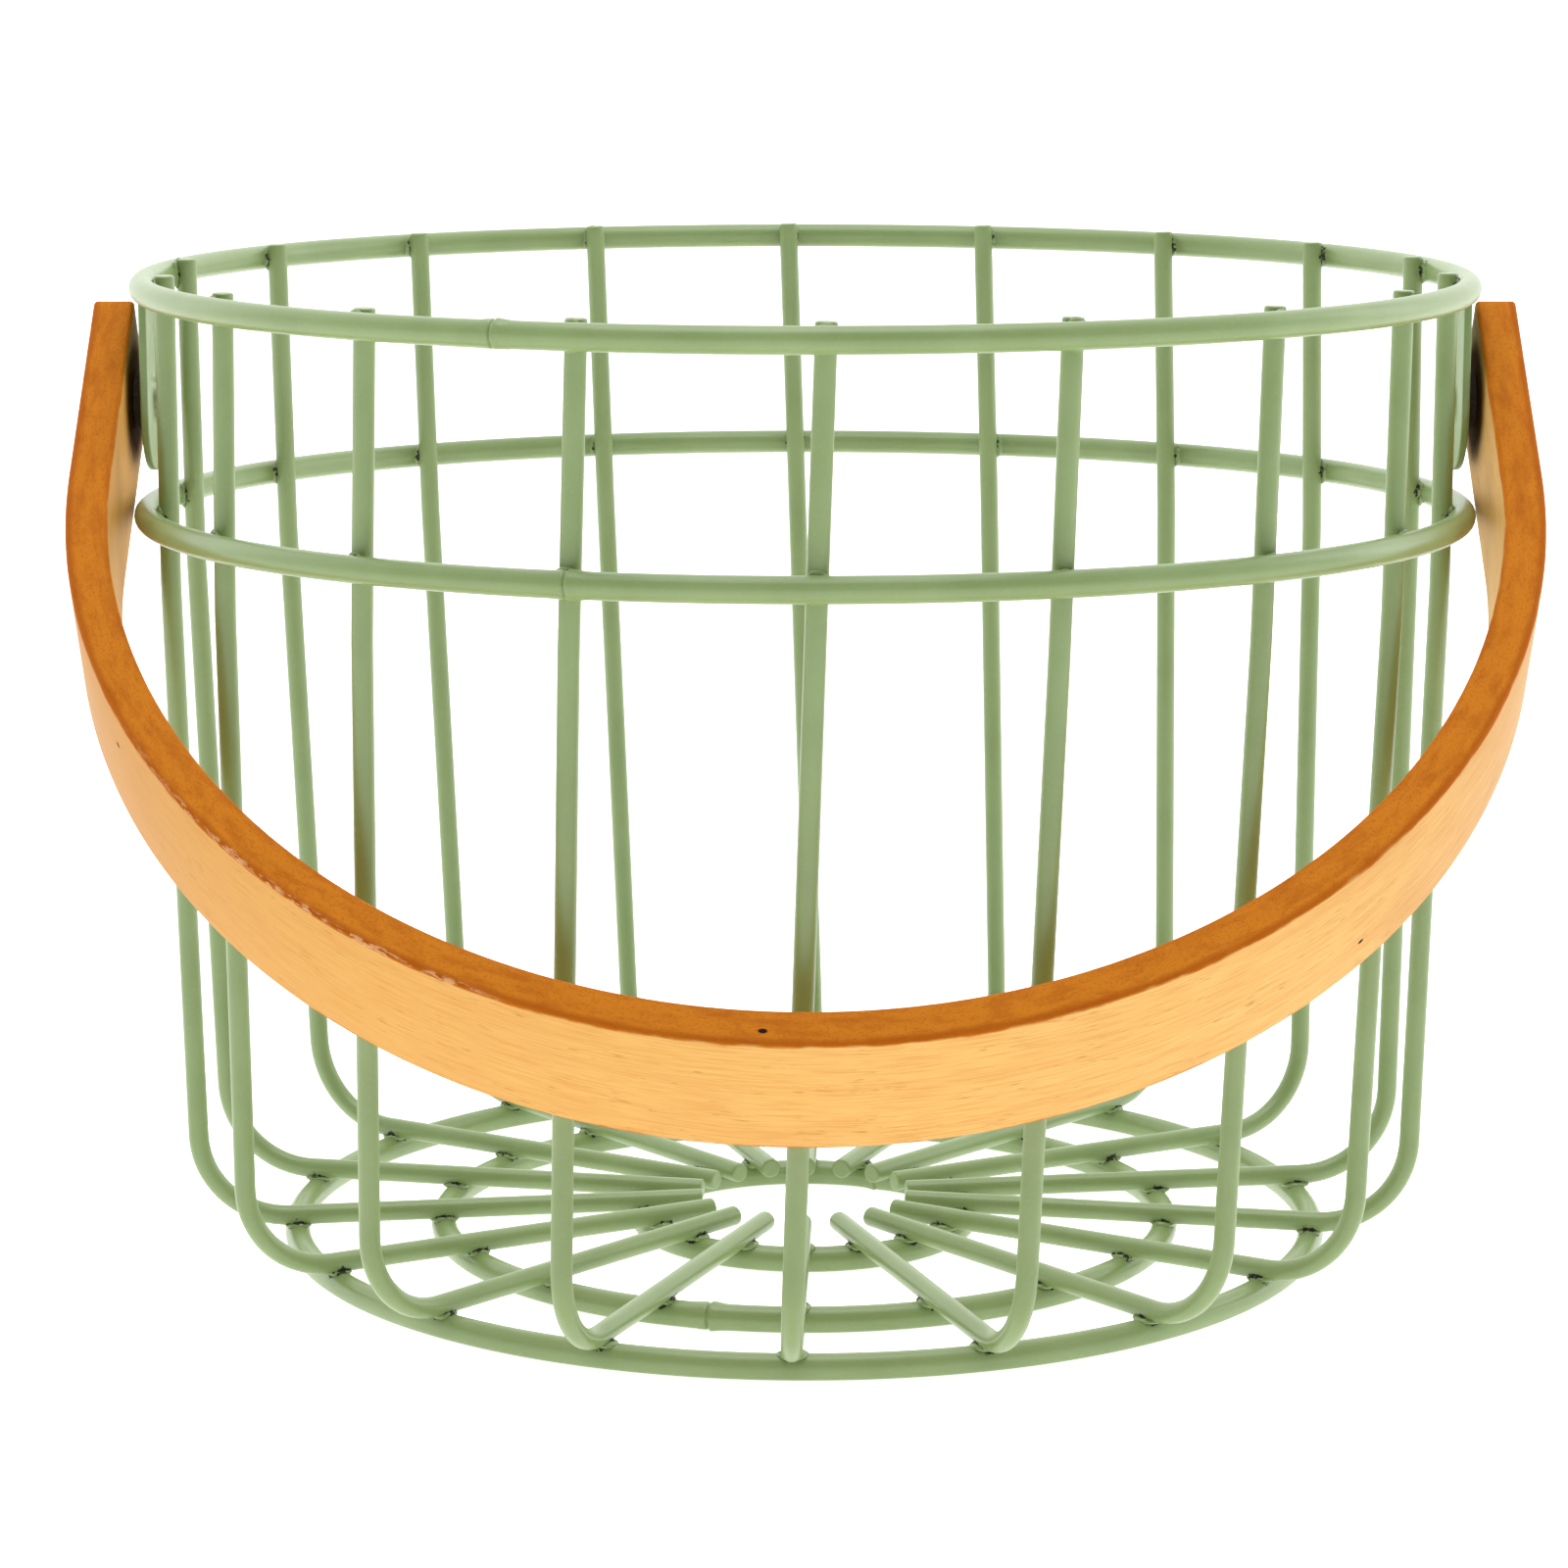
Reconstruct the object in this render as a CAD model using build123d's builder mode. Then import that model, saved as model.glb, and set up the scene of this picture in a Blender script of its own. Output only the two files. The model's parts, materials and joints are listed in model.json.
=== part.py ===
from build123d import *
import os
from math import asin, atan2, cos, degrees, hypot, radians, sin

# Round wire produce basket: two hoops and three base rings of heavy wire, a fan of L-shaped
# uprights welded inside and on top of them, and a bentwood bail handle on two riveted ears.
# Millimetres and degrees. +Z is up, the origin is on the floor at the centre of the base,
# -Y is the front, and the handle swings about an axis along X.

# --- Driving dimensions -------------------------------------------------------------------
basket_diameter = 257.0  # over the rim and over the middle ring
rim_height = 190.0  # floor to the top of the rim
base_middle_diameter = 147.8  # over the wire of each base ring
base_inner_diameter = 68.8
outer_ring_inset = 1.0  # the outer base ring lies this far inside the start of the foot bend
ring_wire = 4.9
upright_wire = 3.9
middle_ring_tilt = 0.75  # the middle ring was welded on with its front this many degrees high
weld_sink = 0.3  # how deep two crossing wires are melted into each other

upright_count = 18
upright_lean = 1.9  # sideways lean of every upright, in degrees
upright_proud = 0.4  # how far the cut tops stand above the rim
foot_inset = 3.3  # the foot corner stands this far inside the straight upper part
knee_drop = 12.0  # the inward taper starts this far below the middle ring
knee_bend = 60.0  # bend radii of the wire's centre line
foot_bend = 17.5
leg_end_radius = 20.5  # the legs stop this far from the basket's axis
cut_edge_round = 0.45  # paint-rounded edge of each cut wire end

ear_thickness = 1.5
ear_width = 27.0
ear_ring_gap = 4.6  # clear space between the ears and the middle ring
pivot_drop = 25.3  # pivot axis below the top of the rim

handle_thickness = 7.8
handle_width = 28.0
handle_leg = 35.0  # straight run from the pivot to the round of the bow
handle_tail = 13.0  # from the pivot to the cut end
handle_edge_round = 0.9
swing_gap = 0.4  # the handle's inner face passes the rim with this gap
rest_gap = 0.3  # between the resting bow and the front upright

rivet_shank = 4.0
rivet_head_diameter = 7.2
rivet_head_height = 2.4
rivet_tail_diameter = 8.6
rivet_tail_height = 1.2
shank_clearance = 0.08  # radial, between the rivet and the turning handle
side_clearance = 0.3  # beside the handle, at the washer and at the rivet's head
washer_diameter = 11.0

# --- Sizes that follow --------------------------------------------------------------------
ring_radius = basket_diameter / 2 - ring_wire / 2
rim_level = rim_height - ring_wire / 2
pivot_level = rim_height - pivot_drop
middle_level = pivot_level - ear_width / 2 - ear_ring_gap - ring_wire / 2
base_level = ring_wire / 2

upright_radius = ring_radius - ring_wire / 2 - upright_wire / 2 + weld_sink
foot_radius = upright_radius - foot_inset
base_outer_radius = foot_radius - foot_bend - outer_ring_inset
base_middle_radius = base_middle_diameter / 2 - ring_wire / 2
base_inner_radius = base_inner_diameter / 2 - ring_wire / 2
leg_level = ring_wire + upright_wire / 2 - weld_sink
upright_top = rim_height + upright_proud
upright_step = 360 / upright_count
rim_rise = (rim_level - leg_level) * sin(radians(upright_lean))
# Each upright crosses its own even spoke half-way up, so the lean is shared out both ways.
foot_turn = -degrees(atan2(rim_rise / 2, upright_radius))

ear_centre = ring_radius - ring_wire / 8
ear_outer = ear_centre + ear_thickness / 2
ear_inner = ear_centre - ear_thickness / 2
handle_inner = basket_diameter / 2 + swing_gap
handle_outer = handle_inner + handle_thickness

# The bow hangs forward until the lower inner edge of its middle leans on the front upright.
# The upright's front there is a straight line: front_at_floor + front_slope * height.
bow_reach = handle_leg + handle_inner
half_width = handle_width / 2
front_slope = foot_inset / (middle_level - knee_drop - leg_level)
front_at_floor = foot_radius + upright_wire / 2 - front_slope * leg_level
sine_part = bow_reach + front_slope * half_width
cosine_part = front_slope * bow_reach - half_width
stand_off = front_at_floor + rest_gap + front_slope * pivot_level
rest_angle = degrees(asin(stand_off / hypot(sine_part, cosine_part)) - atan2(cosine_part, sine_part))


# --- Rings --------------------------------------------------------------------------------
def ring(label, radius, level, tilt=0):
    """One closed hoop of round wire, level unless it is tilted front upwards."""
    lying = Plane(origin=(0, 0, level), x_dir=(1, 0, 0), z_dir=(0, sin(radians(tilt)), cos(radians(tilt))))
    with BuildPart(lying) as hoop:
        Torus(radius, ring_wire / 2)
    hoop.part.label = label
    return hoop.part


# --- Uprights -----------------------------------------------------------------------------
def upright_plane(index):
    """The plane of one L-shaped wire: x runs out from the axis, y runs up along its lean."""
    turn = -90 + foot_turn + index * upright_step
    outward = Vector(1, 0, 0).rotate(Axis.Z, turn)
    sideways = Vector(0, 1, 0).rotate(Axis.Z, turn)
    lean = radians(upright_lean)
    normal = Vector(0, 0, 1) * sin(lean) - sideways * cos(lean)
    return Plane(origin=(0, 0, leg_level), x_dir=outward, z_dir=normal)


def upright(label, index):
    """A wire that runs down inside the hoops, tapers in, and turns under as a floor leg."""
    along_lean = cos(radians(upright_lean))
    top = (upright_top - leg_level) / along_lean
    knee = (middle_level - knee_drop - leg_level) / along_lean
    corners = [(upright_radius, top), (upright_radius, knee), (foot_radius, 0), (leg_end_radius, 0)]
    with BuildPart() as wire:
        with BuildLine(upright_plane(index)) as path:
            FilletPolyline(*corners, radius=[knee_bend, foot_bend])
        with BuildSketch(Plane(path.line @ 0, z_dir=path.line % 0)):
            Circle(upright_wire / 2)
        sweep()
        cut_faces = wire.faces().filter_by(GeomType.PLANE)
        fillet(cut_faces.edges(), cut_edge_round)
    wire.part.label = label
    return wire.part


# --- Ears, rivets and washers -------------------------------------------------------------
def side_plane(side, distance):
    """A plane across the pivot axis: its origin on the axis, its normal pointing outwards."""
    return Plane(origin=(side * distance, 0, pivot_level), x_dir=(0, side, 0), z_dir=(side, 0, 0))


def ear(label, side):
    """A round-ended sheet ear that hangs under the rim and carries the rivet."""
    rise = rim_level - ring_wire / 2 + 2 * weld_sink - pivot_level
    with BuildPart() as tab:
        with BuildSketch(side_plane(side, ear_inner)):
            Circle(ear_width / 2)
            Rectangle(ear_width, rise, align=(Align.CENTER, Align.MIN))
            Circle(rivet_shank / 2, mode=Mode.SUBTRACT)
        extrude(amount=ear_thickness)
    tab.part.label = label
    return tab.part


def rivet(label, side):
    """One steel rivet: a low dome outside the wood, a shank, and a flat tail inside the ear."""
    head_seat = handle_outer + side_clearance
    dome_radius = (rivet_head_diameter**2 / 4 + rivet_head_height**2) / (2 * rivet_head_height)
    with BuildPart() as pin:
        with BuildSketch(side_plane(side, ear_inner - rivet_tail_height)):
            Circle(rivet_tail_diameter / 2)
        extrude(amount=rivet_tail_height)
        chamfer(pin.edges().group_by(Axis.X)[0 if side > 0 else -1], rivet_tail_height / 4)
        with BuildSketch(side_plane(side, ear_inner)):
            Circle(rivet_shank / 2)
        extrude(amount=head_seat - ear_inner)
        profile_plane = Plane(origin=(side * head_seat, 0, pivot_level), x_dir=(0, 0, 1), z_dir=(0, side, 0))
        with BuildSketch(profile_plane):
            with BuildLine():
                Line((0, 0), (rivet_head_diameter / 2, 0))
                RadiusArc((rivet_head_diameter / 2, 0), (0, rivet_head_height), -dome_radius)
                Line((0, rivet_head_height), (0, 0))
            make_face()
        revolve(axis=Axis((side * head_seat, 0, pivot_level), (side, 0, 0)))
    pin.part.label = label
    return pin.part


def washer(label, side):
    """The dark spacer that keeps the handle clear of the ear and of the rim."""
    with BuildPart() as spacer:
        with BuildSketch(side_plane(side, ear_outer)):
            Circle(washer_diameter / 2)
            Circle(rivet_shank / 2, mode=Mode.SUBTRACT)
        extrude(amount=handle_inner - side_clearance - ear_outer)
    spacer.part.label = label
    return spacer.part


# --- Handle -------------------------------------------------------------------------------
def handle_plane():
    """The bow's own plane at rest: x along the pivot axis, y away from the bow's middle."""
    tilt = radians(rest_angle)
    return Plane(origin=(0, 0, pivot_level), x_dir=(1, 0, 0), z_dir=(0, -cos(tilt), sin(tilt)))


def handle(label):
    """A flat strip of wood bent to a U, drilled near both cut ends for the rivets."""
    with BuildPart() as bow:
        with BuildSketch(handle_plane()):
            with BuildLine():
                Line((handle_inner, handle_tail), (handle_outer, handle_tail))
                Line((handle_outer, handle_tail), (handle_outer, -handle_leg))
                CenterArc((0, -handle_leg), handle_outer, 0, -180)
                Line((-handle_outer, -handle_leg), (-handle_outer, handle_tail))
                Line((-handle_outer, handle_tail), (-handle_inner, handle_tail))
                Line((-handle_inner, handle_tail), (-handle_inner, -handle_leg))
                CenterArc((0, -handle_leg), handle_inner, 180, 180)
                Line((handle_inner, -handle_leg), (handle_inner, handle_tail))
            make_face()
        extrude(amount=half_width, both=True)
        fillet(bow.edges(), handle_edge_round)
        with BuildSketch(side_plane(1, 0)):
            Circle(rivet_shank / 2 + shank_clearance)
        extrude(amount=handle_outer, both=True, mode=Mode.SUBTRACT)
    bow.part.label = label
    return bow.part


# --- Build and write ----------------------------------------------------------------------
rings = [
    ring("rim_ring", ring_radius, rim_level),
    ring("middle_ring", ring_radius, middle_level, middle_ring_tilt),
    ring("base_ring_outer", base_outer_radius, base_level),
    ring("base_ring_middle", base_middle_radius, base_level),
    ring("base_ring_inner", base_inner_radius, base_level),
]
uprights = [upright(f"upright_wire_{index + 1:02d}", index) for index in range(upright_count)]
fittings = [
    make(f"{name}_{hand}", side)
    for make, name in ((ear, "handle_ear"), (washer, "spacer_washer"), (rivet, "pivot_rivet"))
    for hand, side in (("left", -1), ("right", 1))
]
pieces = rings + uprights + fittings + [handle("handle_bow")]

os.makedirs("parts", exist_ok=True)
for piece in pieces:
    export_step(piece, f"parts/{piece.label}.step")
print(f"{len(pieces)} pieces, handle rests {rest_angle:.2f} degrees in front of straight down")
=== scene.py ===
# %% [markdown]
# # A wire produce basket with a bentwood bail
#
# The real basket is welded from two gauges of steel wire: five heavy hoops and eighteen thinner
# uprights that turn under as floor legs. It is then powder coated in one go, so the coat runs over
# every weld. A flat strip of wood, steamed and bent to a U, hangs on two rivets.
#
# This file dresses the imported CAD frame. The frame fixes every size and place, so nothing is moved
# here: each piece is rebuilt where its CAD node stands, with a cleaner mesh and a real finish.

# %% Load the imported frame
import json
import math

import bmesh
import bpy
from mathutils import Matrix, Vector


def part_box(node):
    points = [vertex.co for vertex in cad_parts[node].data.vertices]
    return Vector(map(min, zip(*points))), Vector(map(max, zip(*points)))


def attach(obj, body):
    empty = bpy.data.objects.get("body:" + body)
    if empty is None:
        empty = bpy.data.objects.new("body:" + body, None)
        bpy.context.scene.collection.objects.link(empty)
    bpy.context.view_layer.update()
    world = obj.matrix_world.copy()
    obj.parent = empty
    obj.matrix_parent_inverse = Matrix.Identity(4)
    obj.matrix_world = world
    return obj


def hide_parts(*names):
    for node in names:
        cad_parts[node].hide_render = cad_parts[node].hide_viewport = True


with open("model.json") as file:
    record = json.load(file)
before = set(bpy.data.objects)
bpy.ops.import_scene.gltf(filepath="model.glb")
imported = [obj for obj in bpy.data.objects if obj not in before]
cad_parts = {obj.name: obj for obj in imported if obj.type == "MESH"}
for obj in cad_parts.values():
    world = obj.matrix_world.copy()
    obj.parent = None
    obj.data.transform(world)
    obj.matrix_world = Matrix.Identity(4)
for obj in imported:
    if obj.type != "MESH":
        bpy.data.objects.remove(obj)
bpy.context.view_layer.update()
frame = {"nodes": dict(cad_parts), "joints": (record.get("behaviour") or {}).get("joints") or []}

MM = 0.001

# %% [markdown]
# ## The camera
#
# A long lens from a little under a metre away, looking slightly down into the basket. The tilt is the
# only turn, so the uprights stay upright in the picture.

# %% Camera
SENSOR_WIDE = 36.0  # this and the lens are in millimetres, as Blender's camera wants them
LENS = 109.1
CAMERA_PLACE = (-0.0040, -0.9132, 0.2590)
LOOK_DOWN = math.radians(10.52)


def placed(name, data):
    """A new object at the origin, in the scene."""
    made = bpy.data.objects.new(name, data)
    bpy.context.scene.collection.objects.link(made)
    return made


camera = placed("camera", bpy.data.cameras.new("camera"))
camera.data.sensor_width = SENSOR_WIDE
camera.data.lens = LENS
camera.location = CAMERA_PLACE
camera.rotation_euler = (math.pi / 2 - LOOK_DOWN, 0, 0)
bpy.context.scene.camera = camera
print("camera looks down by", round(math.degrees(LOOK_DOWN), 2), "degrees")

# %% [markdown]
# ## Node trees written as expressions
#
# Both shaders and Geometry Nodes are graphs of nodes. Clicking them together is slow to read back, so
# this small pair of classes lets a formula stay a formula. `Link` wraps one output socket, and every
# operator on it adds a Math node. `Nodes.node` adds any other node: settings first, because they
# decide which sockets exist, and then the sockets' values or links.

# %% A socket that does arithmetic
class Link:
    """One output socket; arithmetic on it adds Math nodes."""

    def __init__(self, nodes, socket):
        self.nodes = nodes
        self.socket = socket

    def other(self, name):
        """Another output of the same node."""
        return Link(self.nodes, self.socket.node.outputs[name])

    def math(self, operation, *others):
        return self.nodes.math(operation, self, *others)

    def __add__(self, value):
        return self.math("ADD", value)

    def __sub__(self, value):
        return self.math("SUBTRACT", value)

    def __mul__(self, value):
        return self.math("MULTIPLY", value)

    def __truediv__(self, value):
        return self.math("DIVIDE", value)

    def __pow__(self, value):
        return self.math("POWER", value)

    def __rsub__(self, value):
        return self.nodes.math("SUBTRACT", value, self)

    def __rtruediv__(self, value):
        return self.nodes.math("DIVIDE", value, self)

    def __neg__(self):
        return self * -1.0

    __radd__ = __add__
    __rmul__ = __mul__


class Nodes:
    """A node tree that is filled by calls."""

    def __init__(self, tree):
        self.tree = tree

    def node(self, kind, settings=None, inputs=None, output=0):
        made = self.tree.nodes.new(kind)
        for name, value in (settings or {}).items():
            setattr(made, name, value)
        for name, value in (inputs or {}).items():
            if isinstance(value, Link):
                self.tree.links.new(value.socket, made.inputs[name])
            else:
                made.inputs[name].default_value = value
        return Link(self, made.outputs[output])

    def math(self, operation, *values):
        return self.node("ShaderNodeMath", {"operation": operation}, dict(enumerate(values)))

    def vector(self, operation, *values, output=0):
        return self.node("ShaderNodeVectorMath", {"operation": operation}, dict(enumerate(values)), output)

    def scaled(self, vector, factor):
        return self.node("ShaderNodeVectorMath", {"operation": "SCALE"}, {"Vector": vector, "Scale": factor})

    def join(self, x, y, z):
        return self.node("ShaderNodeCombineXYZ", inputs={"X": x, "Y": y, "Z": z})

    def split(self, vector):
        x = self.node("ShaderNodeSeparateXYZ", inputs={"Vector": vector})
        return x, x.other("Y"), x.other("Z")

    def ramp(self, value, low, high):
        """0 below low, 1 above high, and a smooth rise between them. High may be the lower one."""
        return self.node(
            "ShaderNodeMapRange",
            {"interpolation_type": "SMOOTHSTEP"},
            {"Value": value, "From Min": low, "From Max": high},
        )

    def noise(self, place, scale, detail=2.0, roughness=0.5):
        return self.node(
            "ShaderNodeTexNoise",
            inputs={"Vector": place, "Scale": scale, "Detail": detail, "Roughness": roughness},
        )


print("a formula on sockets now adds its own nodes")

# %% [markdown]
# ## Running a Geometry Nodes rule
#
# A rule is a tree with named inputs for its sizes. It is put on a carrier object, its inputs are set by
# identifier, and the evaluated result is copied out as a plain mesh. The modifier then goes, so what is
# left is an ordinary piece that a game engine or a slicer could read.

# %% Rules and carriers
class Rule(Nodes):
    """A Geometry Nodes tree with named inputs."""

    def __init__(self, name):
        super().__init__(bpy.data.node_groups.new(name, "GeometryNodeTree"))
        self.tree.interface.new_socket("Geometry", in_out="OUTPUT", socket_type="NodeSocketGeometry")
        self.entry = self.tree.nodes.new("NodeGroupInput")

    def ask(self, name, kind="Float"):
        self.tree.interface.new_socket(name, in_out="INPUT", socket_type="NodeSocket" + kind)
        return Link(self, self.entry.outputs[name])

    def pin(self, geometry, value):
        """Keeps a curve's value on its points, so that the mesh swept along it can read it."""
        made = self.tree.nodes.new("GeometryNodeCaptureAttribute")
        made.capture_items.new("FLOAT", "value")
        self.tree.links.new(geometry.socket, made.inputs["Geometry"])
        self.tree.links.new(value.socket, made.inputs["value"])
        return Link(self, made.outputs["Geometry"]), Link(self, made.outputs["value"])

    def give(self, geometry, material):
        """Ends the tree with real, painted geometry."""
        solid = self.node("GeometryNodeRealizeInstances", inputs={"Geometry": geometry})
        smooth = self.node("GeometryNodeSetShadeSmooth", inputs={"Geometry": solid})
        painted = self.node("GeometryNodeSetMaterial", inputs={"Geometry": smooth, "Material": material})
        leave = self.tree.nodes.new("NodeGroupOutput")
        self.tree.links.new(painted.socket, leave.inputs["Geometry"])


def carrier(name, points, edges=(), corner_bends=()):
    """An object that hands a rule its path: corner points, and the bend radius at each."""
    mesh = bpy.data.meshes.new(name)
    mesh.from_pydata([Vector(p) for p in points], edges, [])
    if corner_bends:
        bend = mesh.attributes.new("bend", "FLOAT", "POINT")
        bend.data.foreach_set("value", corner_bends)
    return placed(name, mesh)


def apply_modifiers(piece):
    """Swaps the piece's mesh for what its modifiers make of it, and removes them."""
    evaluated = piece.evaluated_get(bpy.context.evaluated_depsgraph_get())
    finished = bpy.data.meshes.new_from_object(evaluated)
    piece.modifiers.clear()
    piece.data = finished


def run_rule(piece, rule, sizes):
    """Puts the rule on the carrier with these sizes, and applies it."""
    modifier = piece.modifiers.new("rule", "NODES")
    modifier.node_group = rule.tree
    sockets = {s.name: s.identifier for s in rule.tree.interface.items_tree if s.in_out == "INPUT"}
    for name, value in sizes.items():
        modifier[sockets[name]] = value
    apply_modifiers(piece)


def settle(piece, body, slot, *nodes):
    """The piece rides on its body and stands for its CAD nodes. Its slot is not used."""
    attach(piece, body)
    if nodes:
        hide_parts(*nodes)


# %% [markdown]
# ## Sizes, read from the frame
#
# The hoops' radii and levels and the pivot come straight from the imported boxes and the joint. The few
# sizes that a box can't show, such as the wire gauges and the bend radii, are named here.

# %% Sizes
RING_WIRE = 4.9 * MM
UPRIGHT_WIRE = 3.9 * MM
WELD_SINK = 0.3 * MM
UPRIGHTS = 18
LEAN = math.radians(1.9)
KNEE_DROP = 12.0 * MM
KNEE_BEND = 60.0 * MM
FOOT_BEND = 17.5 * MM
FOOT_INSET = 3.3 * MM
LEG_END = 20.5 * MM
CUT_ROUND = 0.45 * MM
UPRIGHT_PROUD = 0.4 * MM

HOOPS = ("rim_ring", "middle_ring", "base_ring_outer", "base_ring_middle", "base_ring_inner")


def hoop_place(node):
    """Radius of the wire's centre line, its level, and how far its front is tipped up."""
    low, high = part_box(node)
    radius = high.x - RING_WIRE / 2
    rise = (high.z - low.z - RING_WIRE) / 2
    return radius, (low.z + high.z) / 2, math.asin(max(rise, 0) / radius)


hoops = {node: hoop_place(node) for node in HOOPS}
rim_radius, rim_level = hoops["rim_ring"][:2]
middle_level, middle_tip = hoops["middle_ring"][1:]
upright_radius = rim_radius - RING_WIRE / 2 - UPRIGHT_WIRE / 2 + WELD_SINK
foot_radius = upright_radius - FOOT_INSET
leg_level = RING_WIRE + UPRIGHT_WIRE / 2 - WELD_SINK
foot_turn = -math.atan2((rim_level - leg_level) * math.sin(LEAN) / 2, upright_radius)
print("hoops, radius and level in mm, tip in degrees:")
for node, (radius, level, tip) in hoops.items():
    print("  ", node, round(radius / MM, 2), round(level / MM, 2), round(math.degrees(tip), 2))

# %% [markdown]
# ## The powder coat
#
# Powder is blown on dry and melted into a skin about a tenth of a millimetre thick. It is satin, with a
# very fine orange-peel, slightly uneven in tone, and it carries a few dust nibs. It can't creep into the
# tight corner where two wires touch: there the scale left by the weld shows as small near-black pits.
#
# The pits need to know where the welds are. All eighteen spokes are alike, so the shader folds the
# surface point into one spoke's frame and measures its distance to that spoke's five welds. Painting a
# mask by hand or storing one on the mesh would tie the detail to the mesh's density.

# %% Where one spoke is welded
def spoke_turn(index):
    """Azimuth of a spoke's foot; the first one stands at the front."""
    return -math.pi / 2 + foot_turn + index * math.tau / UPRIGHTS


def spoke_point(outward, height):
    """A point on the leaning wire at azimuth 0, where it stands outward from the axis at that height."""
    return Vector((outward, (height - leg_level) * math.tan(LEAN), height))


weld_radius = upright_radius + UPRIGHT_WIRE / 2 - WELD_SINK / 2
side_welds = [spoke_point(weld_radius, level) for level in (rim_level, middle_level)]
floor_welds = [Vector((hoops[node][0], 0, RING_WIRE - WELD_SINK / 2)) for node in HOOPS[2:]]
spoke_welds = side_welds + floor_welds
print("welds on one spoke in mm:", [[round(c / MM, 1) for c in weld] for weld in spoke_welds])


def weld_distance(n, place):
    """Distance from a surface point to the nearest weld, folded into the first spoke."""
    x, y, z = n.split(place)
    # Round the middle hoop, heights are measured from its own tipped plane.
    by_middle = n.ramp((z - middle_level).math("ABSOLUTE"), 12 * MM, 8 * MM)
    z = z + y * by_middle * math.tan(middle_tip)
    step = math.tau / UPRIGHTS
    half = step / 2
    azimuth = y.math("ARCTAN2", x) - spoke_turn(0)
    folded = (azimuth + half).math("FLOORED_MODULO", step) - half
    reach = (x * x + y * y).math("SQRT")
    local = n.join(reach * folded.math("COSINE"), reach * folded.math("SINE"), z)
    nearest = None
    for weld in spoke_welds:
        away = n.vector("DISTANCE", local, weld, output="Value")
        nearest = away if nearest is None else nearest.math("MINIMUM", away)
    return nearest


# %% What every finish needs
def new_material(name):
    material = bpy.data.materials.new(name)
    material.use_nodes = True
    material.node_tree.nodes.clear()
    return material, Nodes(material.node_tree)


def surface(n, **sockets):
    """The shader itself. Names use _ for a space."""
    named = {name.replace("_", " "): value for name, value in sockets.items()}
    shader = n.node("ShaderNodeBsdfPrincipled", inputs=named)
    out = n.tree.nodes.new("ShaderNodeOutputMaterial")
    n.tree.links.new(shader.socket, out.inputs["Surface"])


def mix(n, factor, a, b):
    return n.node("ShaderNodeMix", {"data_type": "RGBA"}, {0: factor, 6: a, 7: b}, output=2)


def bump(n, height, strength, distance):
    return n.node("ShaderNodeBump", inputs={"Strength": strength, "Distance": distance, "Height": height})


def object_place(n):
    return n.node("ShaderNodeTexCoord", output="Object")


# %% Powder coat material
SAGE = (0.212, 0.296, 0.114, 1)
SAGE_THIN = (0.190, 0.268, 0.096, 1)
SAGE_DUSTY = (0.240, 0.322, 0.140, 1)
SCALE_BLACK = (0.018, 0.020, 0.014, 1)


def powder_coat():
    material, n = new_material("green_powder_coat")
    place = object_place(n)
    cloud = n.noise(place, 60.0, 3.0)
    grain = n.noise(place, 1400.0, 2.0)
    colour = mix(n, n.ramp(cloud, 0.35, 0.7), SAGE, SAGE_THIN)
    colour = mix(n, n.ramp(grain, 0.5, 0.8) * 0.3, colour, SAGE_DUSTY)

    # Dust nibs: a dot at the middle of each Voronoi cell.
    nib_cells = n.node(
        "ShaderNodeTexVoronoi",
        {"feature": "F1"},
        {"Vector": place, "Scale": 40.0, "Randomness": 1.0},
        output="Distance",
    )
    nib = n.ramp(nib_cells, 0.014, 0.007)

    # Weld scale: noise that only passes the threshold close to a weld.
    away = weld_distance(n, place)
    spots = n.noise(place, 1100.0, 2.0, 0.6)
    near = n.ramp(away, 3.1 * MM, 1.5 * MM)
    pit = n.ramp(spots + near * 0.38, 0.74, 0.81) * n.ramp(near, 0.0, 0.3)
    thin = near * n.ramp(spots, 0.4, 0.7) * 0.5
    colour = mix(n, thin, colour, SAGE_THIN)
    dark = pit.math("MAXIMUM", nib)
    colour = mix(n, dark, colour, SCALE_BLACK)

    peel = n.noise(place, 700.0, 2.0)
    height = peel * 0.5 + grain * 0.15 - pit
    surface(
        n,
        Base_Color=colour,
        Roughness=0.29 + n.noise(place, 300.0) * 0.06 + dark * 0.4,
        Normal=bump(n, height, 0.25, 0.06 * MM),
        Specular_IOR_Level=0.5,
    )
    return material


coat = powder_coat()
print("powder coat nodes:", len(coat.node_tree.nodes))

# %% [markdown]
# ## Hoops
#
# Each hoop is one wire, rolled round and butt-welded to itself. The butt weld leaves a low collar with a
# fine crease in it. A swept circle gives the shape, and a rule sets the wire's thickness along it. The
# crease is a few tenths of a millimetre wide on a hoop up to 800 mm round, so the points are crowded
# towards the seam by a sine term instead of being packed equally tight all the way.

# %% The hoop rule
def bell(distance, width):
    """1 at the seam, falling away over its width."""
    return (-((distance / width) ** 2)).math("EXPONENT")


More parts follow.
